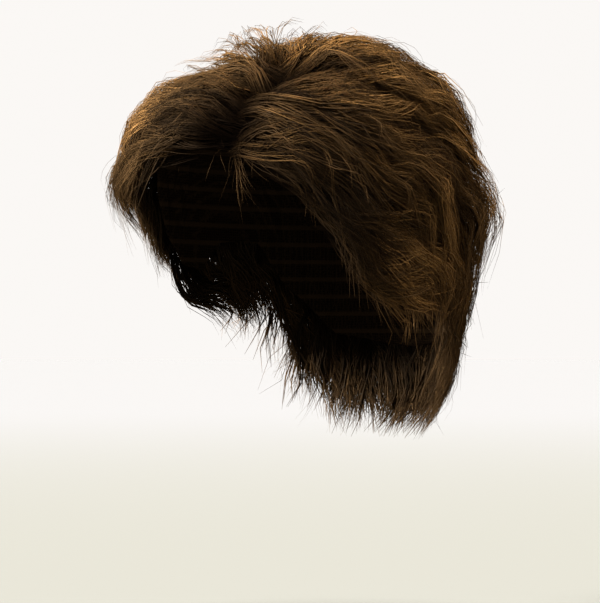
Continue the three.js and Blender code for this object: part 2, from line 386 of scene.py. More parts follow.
def disk(rng, count):
    """Points spread evenly in a disk of radius 1."""
    radius = np.sqrt(rng.random(count))
    bearing = rng.random(count) * 2 * math.pi
    return radius * np.cos(bearing), radius * np.sin(bearing)


def ease(x):
    """0 to 1, slow at both ends."""
    x = np.clip(x, 0, 1)
    return x * x * (3 - 2 * x)


# The ripple at the front as a share of the lift, the share of it that the back has, and how its waves lie.
RIPPLE = 0.32
RIPPLE_BEHIND = 0.5
RIPPLE_ALONG = np.array((3.0, 9.0, -8.0))
RIPPLE_ACROSS = np.array((5.0, 6.0, 7.0))


def ripple(places):
    """The soft waves in the hair's surface, as a share of its lift: crests and hollows that cross the comb.
    They are strongest at the front, half as strong behind, and none between."""
    back = np.minimum(places[..., 1], RIPPLE_BEHIND)
    return -RIPPLE * back * np.sin(places @ RIPPLE_ALONG) * np.cos(places @ RIPPLE_ACROSS)


class Strands(NamedTuple):
    """Strands as arrays: their points, the way that their flat side faces, their breadth as a share, and
    for their colour a tone from 0 to 1 and how far along the strand each point is."""

    points: np.ndarray
    facing: np.ndarray
    breadth: np.ndarray
    tone: np.ndarray
    along: np.ndarray


class Locks(NamedTuple):
    """Locks as arrays: the path that each follows, its length, its layer and its tone. A tone below 0 is
    that of a lock that also stays dark for longer along its strands, as painted shade."""

    path: np.ndarray
    length: np.ndarray
    layer: np.ndarray
    tone: np.ndarray


class Tufts(NamedTuple):
    """Tufts as arrays: the lock that each is a part of, where it lies across and up in the lock, how far it
    drifts aside and flicks out, its length as a share of the lock's, whether it is undercoat, its layer and
    its tone."""

    lock: np.ndarray
    side: np.ndarray
    high: np.ndarray
    drift: np.ndarray
    flick: np.ndarray
    length: np.ndarray
    under: np.ndarray
    layer: np.ndarray
    tone: np.ndarray


# No strand stands further out of the wig's own box than this.
PROUD = 12.0
# From the front round to this turn, no lock hangs below the hem by more than this.
FRONT_TURN = 60
FRONT_CLEAR = 4
# No strand bends more sharply than the first of these at one of its points, and no single hair more sharply
# than the second.
SHARPEST_BEND = math.radians(84)
SHARPEST_HAIR_BEND = math.radians(48)
# Half the width of a lock and of a tuft at their roots and tips, how late a tuft closes, and the share of
# these widths that each has up and down.
LOCK_ROOT = 8.0
LOCK_TIP = 5.5
LOCK_DEPTH = 0.35
TUFT_ROOT = 3.4
TUFT_TIP = 1.5
TUFT_CLOSING = 1.2
TUFT_DEPTH = 0.6
# The undercoat: the share of the tufts that fill the depth below the rest, with broader strands and in lower
# layers.
UNDERCOAT_SHARE = 0.36
UNDERCOAT_BREADTH = 2.6
UNDERCOAT_LAYERS = (0.3, 0.95)
# How the lengths vary, as shares, the shortest that a strand may be, and how far a lock's tip may end before
# the hem or past it.
LOCK_LENGTHS = (0.82, 1.12)
TUFT_LENGTHS = (0.85, 1.04)
STRAND_LENGTHS = (0.78, 1.0)
SHORTEST_STRAND = 12
PAST_HEM = (-3, 5)
# How far tufts and strands drift aside by their tips, as a share of their length. Some strands stray
# further.
TUFT_DRIFT = 0.12
STRAND_DRIFT = 0.04
STRAY_DRIFT = 0.15
STRAY_SHARE = 0.2
# Each strand has a slight curl, this wide and this long.
FRIZZ = 1.0
CURL_LENGTHS = (26, 60)
# From this share of its length on, a strand tucks in by a share of its height, and flicks a little in or
# further out by shares of its section's flick. It stays this far off the cap.
TIP_FROM = 0.6
TUCK = 0.3
FLICKS = (-0.3, 1)
OFF_CAP = 0.2
# How many degrees a strand rolls about its length, how broad it is at its root and its tip as a share of the
# middle, how late it narrows, and how the breadths of strands vary.
ROLL = 28
ROOT_BREADTH = 0.45
TIP_BREADTH = 0.15
NARROWING = 1.8
BREADTHS = (0.75, 1.2)
# What a strand's tone takes from its lock, from its tuft and from chance. Deeper layers are painted darker,
# as painted shade under the hair above: the tone is multiplied by the layer times the first value, less
# the second.
LOCK_TONE = 0.62
TUFT_TONE = 0.2
STRAND_TONE = 0.22
LAYER_PAINTED_SHADE = (1.6, 0.45)
# The locks that spring from beside the parting have this share of their tone: painted shade for the
# shadow in the parting's valley. The dark strip reaches these widths to each side at these places along
# the parting, and it ends a little behind it.
PARTING_PAINTED_SHADE = 0.3
SHADE_WIDE = (16.0, 9.0)
SHADE_FROM = (-85.0, -60.0)
SHADE_BEHIND = 8.0
# The locks by the hairline on the left are painted dark too, as painted shade where the hair above shades
# them, between these turns and this many degrees up from the rim of the cap. Up to the third turn they are
# the darkest, and their colour changes more slowly along them, so the painted shade of the roots reaches
# further.
HAIRLINE_TURNS = (18, 62)
HAIRLINE_DARKEST = 40
HAIRLINE_RISE = 15
HAIRLINE_TONE = -0.15
HAIRLINE_ALONG = 0.6
# So are those of the nape and of the sides below the widest level, by this much at this depth in degrees:
# painted shade, as less light falls there from above.
NAPE_SHADE = 0.65
NAPE_DEPTH = 26
# The roots of a lock's tufts are spread along its way by this share of the gap between locks.
ROOT_SPREAD = 0.7
# Neighbouring locks lie in hanks, which rise to a crest and fall to a hollow across the comb. A lock's layer
# and its tone come from its hank and from chance, in these shares. The hank's share of the tone is painted
# light and shade: crests are painted lighter and hollows darker.
HANK = np.array((-2.0, 9.0, 17.0))
HANK_PHASE = 2.2
LAYER_SHARES = (0.55, 0.45)
TONE_SHARES = (0.6, 0.4)
# How the phase of the locks' wave runs over the form, how far it strays, and how the wave's length varies.
WAVE_PHASE = np.array((9, 7, 8))
PHASE_STRAY = 1.3
WAVE_LENGTHS = (0.8, 1.25)


def swing_of(section, hair, roots, rng):
    """How far each lock swings from the comb at each step: it veers to one side, and it waves. Neighbours
    wave nearly together."""
    count = len(roots)
    veer = np.radians(rng.normal(0, section.veer, (count, 1)))
    phase = roots @ WAVE_PHASE + rng.normal(0, PHASE_STRAY, count)
    wave_length = hair.wave_length / MM * rng.uniform(*WAVE_LENGTHS, (count, 1))
    distance = np.arange(COMB_STEPS + 1) * COMB_STEP
    return veer + hair.wave_angle * np.sin(2 * math.pi * distance / wave_length + phase[:, None])


def mixed(shares, hank, rng):
    """A mix from 0 to 1 of what a lock's hank gives and of chance."""
    by_hank, by_chance = shares
    return by_hank * hank + by_chance * rng.random(len(hank))


def shaded(tone, roots):
    """The tones of locks, darkened as painted shade at the nape, beside the parting and by the hairline on
    the left.
    """
    turn, rise = angles(roots)
    root = over_form(roots, CAP_WALL)
    wide = np.interp(root[:, 1], SHADE_FROM, SHADE_WIDE)
    near = (np.abs(root[:, 0] - PARTING) < wide) & (root[:, 1] < PARTING_END + SHADE_BEHIND)
    # Painted shade beside the parting.
    tone = tone * np.where(near, PARTING_PAINTED_SHADE, 1)
    # Painted shade at the nape and low on the sides.
    tone = tone * (1 - NAPE_SHADE * np.clip(-rise / NAPE_DEPTH, 0, 1))
    first_turn, last_turn = HAIRLINE_TURNS
    above = rise - edge_rise(CAP_RIM, np.abs(turn))
    by_hairline = (turn > first_turn) & (turn < last_turn) & (above < HAIRLINE_RISE)
    # By the hairline on the left the tone is set low, as painted shade.
    return np.where(by_hairline, np.where(turn < HAIRLINE_DARKEST, HAIRLINE_TONE, 0), tone)


def new_locks(section, path, length, rng):
    """Locks along their paths, each with a layer and a tone of its own. The tone is partly painted light and
    shade.
    """
    roots = path[:, 0, :3]
    hank = 0.5 + 0.5 * np.sin(roots @ HANK + HANK_PHASE)
    layer = section.low + (section.high - section.low) * mixed(LAYER_SHARES, hank, rng)
    # Crests of the hanks are painted lighter and hollows darker, and each section's lightness is painted
    # light and shade.
    tone = mixed(TONE_SHARES, hank, rng) * section.light
    return Locks(path, length, layer, shaded(tone, roots))


# The locks turn along the hem within this many degrees of a line this far inside it, between these turns
# round from the front. On the right they do so only behind the fringe.
EDGE_NEAR = 12
EDGE_INSIDE = 3
EDGE_TURNS = (30, 100)
RIGHT_EDGE = -75


def along_edge(ways, places):
    """Turns the comb along the hem where it nears the side hair's front edge, so that the locks there lie
    along the edge and gather at its lower end."""
    turn, rise = angles(places)
    off = np.abs(turn)
    slope = edge_rise(HEM, off + 1) - edge_rise(HEM, off - 1)
    t, r = np.radians(turn), np.radians(rise)
    up = np.stack([-np.sin(t) * np.sin(r), np.cos(t) * np.sin(r), np.cos(r)], axis=-1)
    round_back = np.stack([np.cos(t), np.sin(t), 0 * t], axis=-1) * np.sign(turn)[:, None]
    inward = unit(up - round_back * (slope / 2)[:, None])
    gap = rise - edge_rise(HEM, off) - EDGE_INSIDE
    first_turn, last_turn = EDGE_TURNS
    front = (off > first_turn) & (off < last_turn) & ((turn > 0) | (turn < RIGHT_EDGE))
    share = ease(1 - gap / EDGE_NEAR) * front
    out = np.minimum((ways * inward).sum(-1), 0)
    return unit(ways - inward * (out * share)[:, None])


def section_locks(section, hair, rng):
    """The locks of one section, which follow the comb and end at the hem."""
    roots = lock_roots(section, rng)
    banks = section_at(roots)[1]
    points = over_form(roots, CAP_WALL)
    crossing = (np.abs(points[:, 0] - PARTING) < CROSSING) & (rng.random(len(roots)) < CROSSING_SHARE)
    banks = np.where(crossing, -banks, banks)
    banks = np.where(points[:, 1] > PARTING_END, 0, banks)
    ways, _, length = comb_at(roots, banks)
    roots = unit(roots - ways * (section.gap * ROOT_SPREAD / form_reach(roots))[:, None])
    swing = swing_of(section, hair, roots, rng)
    path = follow(lambda places: comb_at(places, banks)[:2], roots, swing, along_edge)
    length = length * rng.uniform(*LOCK_LENGTHS, len(roots)) + section.gap * ROOT_SPREAD
    length = np.minimum(length, hem_distance(path, banks) + rng.uniform(*PAST_HEM, len(roots)))
    return new_locks(section, path, length, rng)


# The wisps: where they spring from along the cap's rim and above it, how they fall, and the most that they
# follow the comb instead. The first of them make the pointed lock.
WISPS = 60
WISP_LIFT = 6.0
WISP_TURNS = (-26, 50)
WISP_RISES = (0.5, 5)
WISP_LENGTHS = (8, 30)
WISP_FALL = np.array((0.35, 0.0, -1.0))
WISP_COMBED = 0.3
POINTED_STRANDS = 16
POINTED_LOCK_TURN = 20
POINTED_LOCK_LENGTH = 48
POINTED_LOCK_SPREAD = 0.7
POINTED_LOCK_TONE = 0.3


def wisp_locks(section, hair, rng):
    """Thin wisps that hang from the front hairline, most of them short, and one pointed lock."""
    pointed = np.arange(WISPS) < POINTED_STRANDS
    offset = rng.normal(0, POINTED_LOCK_SPREAD, WISPS)
    turn = np.where(pointed, POINTED_LOCK_TURN + offset, rng.uniform(*WISP_TURNS, WISPS))
    roots = outward(turn, edge_rise(CAP_RIM, np.abs(turn)) + rng.uniform(*WISP_RISES, WISPS))
    banks = section_at(roots)[1]
    combed = np.where(pointed, 0, rng.uniform(0, WISP_COMBED, WISPS))[:, None]

    def fall(places):
        """The comb of the wisps: they fall, and some follow the hair a little."""
        ways = comb_at(places, banks)[0] * combed + WISP_FALL * (1 - combed)
        ways = unit(ways - places * (ways * places).sum(-1, keepdims=True))
        return ways, np.full(len(places), WISP_LIFT)

    inward = -np.arctan(np.radians(offset) * FORM_HALF_LENGTH / POINTED_LOCK_LENGTH)
    swing = np.where(pointed[:, None], inward[:, None], swing_of(section, hair, roots, rng))
    path = follow(fall, roots, swing)
    short, long = WISP_LENGTHS
    length = np.where(pointed, POINTED_LOCK_LENGTH, short + (long - short) * rng.random(WISPS) ** 2)
    return new_locks(section, path, length, rng)._replace(tone=np.where(pointed, POINTED_LOCK_TONE, 0))


# The tufts that stand up: how many, how long, and where they spring from.
STANDING_TUFTS = 60
STANDING_LENGTHS = (36, 66)
STANDING_TURNS = (2, 34)
STANDING_RISES = (50, 80)


def standing_locks(section, hair, rng):
    """Thin tufts that stand up behind the parting and lean to the right."""
    turn = rng.uniform(*STANDING_TURNS, STANDING_TUFTS)
    roots = outward(turn, rng.uniform(*STANDING_RISES, STANDING_TUFTS))
    banks = np.full(STANDING_TUFTS, -1)
    path = follow(lambda places: comb_at(places, banks)[:2], roots, swing_of(section, hair, roots, rng))
    locks = new_locks(section, path, rng.uniform(*STANDING_LENGTHS, STANDING_TUFTS), rng)
    return locks._replace(tone=np.zeros(STANDING_TUFTS))


def split_tufts(locks, section, rng):
    """The tufts of some locks, dealt out evenly among them."""
    count = section.strands // section.tuft
    lock = np.arange(count) % len(locks.length)
    side, high = disk(rng, count)
    drift = rng.normal(0, TUFT_DRIFT, count)
    flick = rng.uniform(*FLICKS, count) * section.flick
    length = rng.uniform(*TUFT_LENGTHS, count)
    under = rng.random(count) < (UNDERCOAT_SHARE if section.tuft > 1 else 0)
    layer = np.where(under, rng.uniform(*UNDERCOAT_LAYERS, count), 1.0) * locks.layer[lock]
    tone = LOCK_TONE * locks.tone[lock] + TUFT_TONE * rng.random(count)
    return Tufts(lock, side, high, drift, flick, length, under, layer, tone)


def guide_at(paths, distance):
    """The place, the way and the lift at distances along paths, just short of the last step at most."""
    at = np.clip(distance / COMB_STEP, 0, COMB_STEPS - 1e-6)
    low = at.astype(int)
    part = (at - low)[..., None]
    row = np.arange(len(paths))[:, None]
    guide = paths[row, low] * (1 - part) + paths[row, low + 1] * part
    return unit(guide[..., :3]), guide[..., 3:6], guide[..., 6]


def taper(u):
    """The breadth along a strand, as a share: it swells in its first third and narrows in its last half."""
    swell = ROOT_BREADTH + (1 - ROOT_BREADTH) * ease(u * 3)
    return swell * (1 - (1 - TIP_BREADTH) * np.clip(2 * u - 1, 0, 1) ** NARROWING)


def well_laid(points, section):
    """Which strands to keep: those that stay in the wig's limits, bend softly and leave the front clear."""
    low, high = np.array(CAD_BOX) / MM
    kept = ((points > low - PROUD) & (points < high + PROUD)).all(axis=(1, 2))
    steps = unit(np.diff(points, axis=1))
    straight = (steps[:, 1:] * steps[:, :-1]).sum(-1)
    kept &= (straight > math.cos(SHARPEST_BEND if section.tuft > 1 else SHARPEST_HAIR_BEND)).all(axis=1)
    if section.gap:
        turn, rise = angles(unit(points - CENTRE))
        hanging = (turn > 0) & (turn < FRONT_TURN) & (rise < edge_rise(HEM, turn) - FRONT_CLEAR)
        kept &= ~hanging.any(axis=1)
    return kept


def split_locks(locks, section, rng):
    """The strands of some locks: each lock is split in tufts, and each tuft in strands."""
    tufts = split_tufts(locks, section, rng)
    count = len(tufts.lock)
    strands = count * section.tuft
    tuft = np.repeat(np.arange(count), section.tuft)
    tufts = Tufts(*[values[tuft] for values in tufts])
    side, high = disk(rng, strands)
    stray = np.where(rng.random(strands) < STRAY_SHARE, STRAY_DRIFT, STRAND_DRIFT)
    drift = tufts.drift + rng.normal(0, 1, strands) * stray
    begin = rng.uniform(0, ROOT_SPREAD, count)[tuft][:, None] * section.gap
    reach = locks.length[tufts.lock] * tufts.length * rng.uniform(*STRAND_LENGTHS, strands)
    reach = np.maximum(reach, SHORTEST_STRAND)[:, None]

    u = np.linspace(0, 1, section.points)[None, :]
    place, way, lift = guide_at(locks.path[tufts.lock], begin + u * (reach - begin))
    aside = unit(np.cross(place, way))
    lock_radius = section.spread * (LOCK_ROOT + (LOCK_TIP - LOCK_ROOT) * ease(u))
    tuft_radius = section.spread * (TUFT_ROOT + (TUFT_TIP - TUFT_ROOT) * ease(u) ** TUFT_CLOSING)
    curl_length = rng.uniform(*CURL_LENGTHS, (strands, 1))
    curl = 2 * math.pi * (u * reach / curl_length + rng.random((strands, 1)))
    frizz = rng.normal(0, FRIZZ, (strands, 1)) * ease(2 * u)
    across = tufts.side[:, None] * lock_radius + side[:, None] * tuft_radius
    across = across + drift[:, None] * u**2 * reach + frizz * np.sin(curl)

    rising = 1 - (1 - u) ** section.spring
    tip = np.clip((u - TIP_FROM) / (1 - TIP_FROM), 0, 1) ** 2
    lift = lift * (1 + ripple(place))
    height = tufts.layer[:, None] * lift * rising * (1 - TUCK * tip) + tufts.flick[:, None] * tip
    depth = tufts.high[:, None] * lock_radius * LOCK_DEPTH + high[:, None] * tuft_radius * TUFT_DEPTH
    height = height + depth * rising + frizz * np.cos(curl)
    points = over_form(place, CAP_WALL + np.maximum(height, OFF_CAP)) + aside * across[..., None]

    roll = np.radians(rng.normal(0, ROLL, strands))[:, None, None]
    facing = place * np.cos(roll) + aside * np.sin(roll)
    broad = rng.uniform(*BREADTHS, strands) * np.where(tufts.under, UNDERCOAT_BREADTH, 1)
    breadth = taper(u) * broad[:, None]
    # Deeper layers are painted darker, as painted shade.
    by_layer, less = LAYER_PAINTED_SHADE
    tone = tufts.tone + STRAND_TONE * rng.random(strands)
    tone = np.clip(tone * (by_layer * tufts.layer - less), 0, 1)
    # A tone below 0 keeps the painted shade of the roots further along the strand.
    along = u * np.where(locks.tone[tufts.lock] < 0, HAIRLINE_ALONG, 1)[:, None]
    kept = well_laid(points, section)
    return Strands(points[kept], facing[kept], breadth[kept], tone[kept], along[kept])


def linear(hex_colour):
    """An sRGB hex colour as a linear one with an alpha of 1."""
    srgb = [int(hex_colour[i : i + 2], 16) / 255 for i in (0, 2, 4)]
    return (*[c / 12.92 if c <= 0.04045 else ((c + 0.055) / 1.055) ** 2.4 for c in srgb], 1.0)


def add_node(tree, kind, links=None, **settings):
    """Adds a node to a tree. links holds a socket or a value for each input that isn't left as it is."""
    node = tree.nodes.new(kind)
    for name, value in settings.items():
        setattr(node, name, value)
    for name, value in (links or {}).items():
        if isinstance(value, bpy.types.NodeSocket):
            tree.links.new(value, node.inputs[name])
        else:
            node.inputs[name].default_value = value
    return node


STRAND_SIDES = 3


def strand_tree():
    """Geometry nodes that sweep a flat three-sided strand along each line of points."""
    tree = bpy.data.node_groups.new("strands_along_lines", "GeometryNodeTree")
    for name, kind in (
        ("Lines", "NodeSocketGeometry"),
        ("Strand width", "NodeSocketFloat"),
        ("Flatness", "NodeSocketFloat"),
        ("Hair", "NodeSocketMaterial"),
    ):
        tree.interface.new_socket(name, in_out="INPUT", socket_type=kind)
    tree.interface.new_socket("Strands", in_out="OUTPUT", socket_type="NodeSocketGeometry")
    given = add_node(tree, "NodeGroupInput").outputs
    facing = add_node(tree, "GeometryNodeInputNamedAttribute", {"Name": "facing"}, data_type="FLOAT_VECTOR")
    breadth = add_node(tree, "GeometryNodeInputNamedAttribute", {"Name": "breadth"}, data_type="FLOAT")
    lines = add_node(tree, "GeometryNodeMeshToCurve", {"Mesh": given["Lines"]})
    turned = add_node(
        tree,
        "GeometryNodeSetCurveNormal",
        {"Curve": lines.outputs["Curve"], "Normal": facing.outputs["Attribute"]},
        mode="FREE",
    )
    across = add_node(
        tree, "ShaderNodeMath", {0: given["Strand width"], 1: math.sqrt(3)}, operation="DIVIDE"
    )
    ring = add_node(
        tree,
        "GeometryNodeCurvePrimitiveCircle",
        {"Resolution": STRAND_SIDES, "Radius": across.outputs["Value"]},
    )
    squash = add_node(tree, "ShaderNodeCombineXYZ", {"X": given["Flatness"], "Y": 1.0, "Z": 1.0})
    profile = add_node(
        tree,
        "GeometryNodeTransform",
        {"Geometry": ring.outputs["Curve"], "Scale": squash.outputs["Vector"]},
    )
    swept = add_node(
        tree,
        "GeometryNodeCurveToMesh",
        {
            "Curve": turned.outputs["Curve"],
            "Profile Curve": profile.outputs["Geometry"],
            "Scale": breadth.outputs["Attribute"],
            "Fill Caps": True,
        },
    )
    smooth = add_node(tree, "GeometryNodeSetShadeSmooth", {"Geometry": swept.outputs["Mesh"]})
    real = add_node(tree, "GeometryNodeRealizeInstances", {"Geometry": smooth.outputs["Geometry"]})
    painted = add_node(
        tree,
        "GeometryNodeSetMaterial",
        {"Geometry": real.outputs["Geometry"], "Material": given["Hair"]},
    )
    add_node(tree, "NodeGroupOutput", {"Strands": painted.outputs["Geometry"]})
    return tree


def line_mesh(name, strands):
    """A mesh of bare lines, one for each strand, that carries the strands' measures."""
    shape = strands.breadth.shape
    index = np.arange(strands.breadth.size).reshape(shape)
    edges = np.stack([index[:, :-1], index[:, 1:]], axis=-1).reshape(-1, 2)
    mesh = bpy.data.meshes.new(name)
    mesh.vertices.add(index.size)
    mesh.edges.add(len(edges))
    mesh.vertices.foreach_set("co", (strands.points * MM).astype(np.float32).ravel())
    mesh.edges.foreach_set("vertices", edges.astype(np.int32).ravel())
    tone = np.broadcast_to(strands.tone[:, None], shape)
    for key, kind, field, values in (
        ("facing", "FLOAT_VECTOR", "vector", strands.facing),
        ("breadth", "FLOAT", "value", strands.breadth),
        ("tone", "FLOAT", "value", tone),
        ("along", "FLOAT", "value", strands.along),
    ):
        attribute = mesh.attributes.new(key, kind, "POINT")
        attribute.data.foreach_set(field, np.ascontiguousarray(values, np.float32).ravel())
    mesh.update()
    return mesh


# Where the UV map starts and how far it spans, for the tone and for the way along. The sides of a strand lie
# a small step apart.
UV_TONE = (0.02, 0.94)
UV_ALONG = (0.01, 0.98)
UV_SIDE_STEP = 0.004


def lay_uv(mesh):
    """A UV map whose u is a strand's tone and v how far along it a point is, as its colour is."""
    count = len(mesh.vertices)
    laid = {}
    for key, (start, span) in (("tone", UV_TONE), ("along", UV_ALONG)):
        values = np.empty(count, np.float32)
        mesh.attributes[key].data.foreach_get("value", values)
        laid[key] = start + span * values
    corner = np.empty(len(mesh.loops), np.int32)
    mesh.loops.foreach_get("vertex_index", corner)
    side = np.arange(count) % STRAND_SIDES
    u = laid["tone"] + UV_SIDE_STEP * side
    uv = np.stack([u[corner], laid["along"][corner]], axis=-1)
    layer = mesh.uv_layers.new(name="OFBake")
    layer.data.foreach_set("uv", uv.astype(np.float32).ravel())
    for key in ("tone", "along", "breadth", "facing"):
        if key in mesh.attributes:
            mesh.attributes.remove(mesh.attributes[key])


def sweep_strands(name, strands, width, flatness, material):
    """A piece made of strands: lines of points, swept by the strand tree and made a plain mesh."""
    piece = bpy.data.objects.new(name, line_mesh(name, strands))
    bpy.context.scene.collection.objects.link(piece)
    tree = bpy.data.node_groups.get("strands_along_lines") or strand_tree()
    modifier = piece.modifiers.new("strands", "NODES")
    modifier.node_group = tree
    keys = {socket.name: socket.identifier for socket in tree.interface.items_tree}
    modifier[keys["Strand width"]] = width
    modifier[keys["Flatness"]] = flatness
    modifier[keys["Hair"]] = material
    evaluated = piece.evaluated_get(bpy.context.evaluated_depsgraph_get())
    mesh = bpy.data.meshes.new_from_object(evaluated)
    piece.modifiers.remove(modifier)
    piece.data = mesh
    mesh.name = name
    lay_uv(mesh)
    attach(piece, BODY)
    return piece


def new_material(name):
    """An empty material, its node tree and its shader."""
    material = bpy.data.materials.new(name)
    material.use_nodes = True
    tree = material.node_tree
    tree.nodes.clear()
    shader = add_node(tree, "ShaderNodeBsdfPrincipled")
    add_node(tree, "ShaderNodeOutputMaterial", {"Surface": shader.outputs["BSDF"]})
    return material, tree, shader


# The colour sockets of a Mix node. Its sockets for other kinds of value have the same names.
MIX_FIRST = 6
MIX_SECOND = 7
MIX_RESULT = 2
# Over which stretch of a strand the painted shade at the roots fades out and the tips set in, and how
# strong each is.
ROOT_SHADE_FADE = (0.06, 0.5)
ROOT_SHADE_SHARE = 0.92
TIP_FADE = (0.5, 1.0)
TIP_SHARE = 0.3
GLOSS_EDGE = "4a3620"


def real_hair(hair):
    """Real hair: keratin fibres, dyed dark brown. Each lock has its own tone, partly at random and partly
    painted light and shade. The roots are painted nearly black, as painted shade, and the tips a little
    lighter, partly real wear and partly a painted glow of light through them. The smooth cuticle gives a
    brown gloss along the strands. A drawn strand is coarser than a hair, and a white gleam on it would look
    like wire, so the gloss is made by a part metallic shader with no plain gloss."""
    found = bpy.data.materials.get("real_hair")
    if found:
        return found
    material, tree, shader = new_material("real_hair")
    uv = add_node(tree, "ShaderNodeUVMap", uv_map="OFBake")
    split = add_node(tree, "ShaderNodeSeparateXYZ", {"Vector": uv.outputs["UV"]})
    tones = add_node(tree, "ShaderNodeValToRGB", {"Fac": split.outputs["X"]})
    ramp = tones.color_ramp
    ramp.elements[0].color = (*hair.dark, 1.0)
    ramp.elements[1].color = (*hair.light, 1.0)
    middle = ramp.elements.new(0.5)
    middle.color = (*hair.middle, 1.0)
    # Painted shade at the roots: near black, fading out along the strand.
    roots = add_node(
        tree,
        "ShaderNodeMapRange",
        {
            "Value": split.outputs["Y"],
            "From Min": ROOT_SHADE_FADE[0],
            "From Max": ROOT_SHADE_FADE[1],
            "To Min": ROOT_SHADE_SHARE,
            "To Max": 0.0,
        },
        interpolation_type="SMOOTHSTEP",
    )
    root_shaded = add_node(
        tree,
        "ShaderNodeMix",
        {
            "Factor": roots.outputs["Result"],
            MIX_FIRST: tones.outputs["Color"],
            MIX_SECOND: (*hair.root, 1.0),
        },
        data_type="RGBA",
    )
    # The tips are painted a little lighter: partly real wear, partly a painted glow of light through them.
    tips = add_node(
        tree,
        "ShaderNodeMapRange",
        {
            "Value": split.outputs["Y"],
            "From Min": TIP_FADE[0],
            "From Max": TIP_FADE[1],
            "To Min": 0.0,
            "To Max": TIP_SHARE,
        },
        interpolation_type="SMOOTHSTEP",
    )
    worn_and_glowing = add_node(
        tree,
        "ShaderNodeMix",
        {
            "Factor": tips.outputs["Result"],
            MIX_FIRST: root_shaded.outputs[MIX_RESULT],
            MIX_SECOND: (*hair.tip, 1.0),
        },
        data_type="RGBA",
    )
    tree.links.new(worn_and_glowing.outputs[MIX_RESULT], shader.inputs["Base Color"])
    shader.inputs["Roughness"].default_value = 0.42
    shader.inputs["IOR"].default_value = 1.55
    shader.inputs["Metallic"].default_value = 0.35
    shader.inputs["Specular IOR Level"].default_value = 0.0
    shader.inputs["Specular Tint"].default_value = linear(GLOSS_EDGE)
    return material


# Where a weft's edge lies on the wave of its rows and a thread's edge in the net, how uneven the net is, the
# share of fine roughness in its height, and how far its threads and wefts stand out.
WEFT_EDGE = (0.55, 0.85)
THREAD_EDGE = (0.05, 0.2)
NET_UNEVEN = 0.35
STITCH_SHARE = 0.5
NET_HEIGHT = 0.6


def cap_net(cap):
    """A machine-made cap: knitted polyester net with rows of sewn wefts, matt and dark as the hair. Its
    holes are painted near black, as painted shade.
    """
    material, tree, shader = new_material("wefted_polyester_net")
    place = add_node(tree, "ShaderNodeTexCoord").outputs["Object"]
    split = add_node(tree, "ShaderNodeSeparateXYZ", {"Vector": place})
    rows = add_node(
        tree, "ShaderNodeMath", {0: split.outputs["Z"], 1: 2 * math.pi / cap.weft_gap}, operation="MULTIPLY"
    )
    wave = add_node(tree, "ShaderNodeMath", {0: rows.outputs["Value"]}, operation="SINE")
    weft = add_node(
        tree,
        "ShaderNodeMapRange",
        {"Value": wave.outputs["Value"], "From Min": WEFT_EDGE[0], "From Max": WEFT_EDGE[1]},
        interpolation_type="SMOOTHSTEP",
    )
    net = add_node(
        tree,
        "ShaderNodeTexVoronoi",
        {"Vector": place, "Scale": 1 / cap.net_gap, "Randomness": NET_UNEVEN},
        feature="DISTANCE_TO_EDGE",
    )
    thread = add_node(
        tree,
        "ShaderNodeMapRange",
        {
            "Value": net.outputs["Distance"],
            "From Min": THREAD_EDGE[0],
            "From Max": THREAD_EDGE[1],
            "To Min": 1.0,
            "To Max": 0.0,
        },
    )
    stitch = add_node(
        tree, "ShaderNodeTexNoise", {"Vector": place, "Scale": 1 / cap.stitch_gap, "Detail": 3.0}
    )
    woven = add_node(
        tree,
        "ShaderNodeMix",
        {
            # The holes between the threads are painted near black, as painted shade.
            "Factor": thread.outputs["Result"],
            MIX_FIRST: (*cap.hollow, 1.0),
            MIX_SECOND: (*cap.thread, 1.0),
        },
        data_type="RGBA",
    )
    sewn = add_node(
        tree,
        "ShaderNodeMix",
        {
            "Factor": weft.outputs["Result"],
            MIX_FIRST: woven.outputs[MIX_RESULT],
            MIX_SECOND: (*cap.weft, 1.0),
        },
        data_type="RGBA",
    )
    tree.links.new(sewn.outputs[MIX_RESULT], shader.inputs["Base Color"])
    height = add_node(
        tree,
        "ShaderNodeMath",
        {0: thread.outputs["Result"], 1: weft.outputs["Result"]},
        operation="MAXIMUM",
    )
    rough = add_node(
        tree,
        "ShaderNodeMath",
        {0: stitch.outputs["Fac"], 1: STITCH_SHARE, 2: height.outputs["Value"]},
        operation="MULTIPLY_ADD",
    )
    bump = add_node(
        tree,
        "ShaderNodeBump",
        {"Height": rough.outputs["Value"], "Strength": 0.6, "Distance": NET_HEIGHT * MM},
    )
    tree.links.new(bump.outputs["Normal"], shader.inputs["Normal"])
    shader.inputs["Roughness"].default_value = 0.85
    shader.inputs["Specular IOR Level"].default_value = 0.0
    return material


def colour(hex_colour, name, description):
    """A colour property."""
    return bpy.props.FloatVectorProperty(
        name=name, description=description, subtype="COLOR", min=0, max=1, default=linear(hex_colour)[:3]
    )


def size(millimetres, name, description):
    """A length property."""
    return bpy.props.FloatProperty(
        name=name, description=description, unit="LENGTH", precision=5, default=millimetres * MM
    )


def angle(degrees, name, description):
    """An angle property."""
    return bpy.props.FloatProperty(
        name=name, description=description, subtype="ANGLE", default=math.radians(degrees)
    )


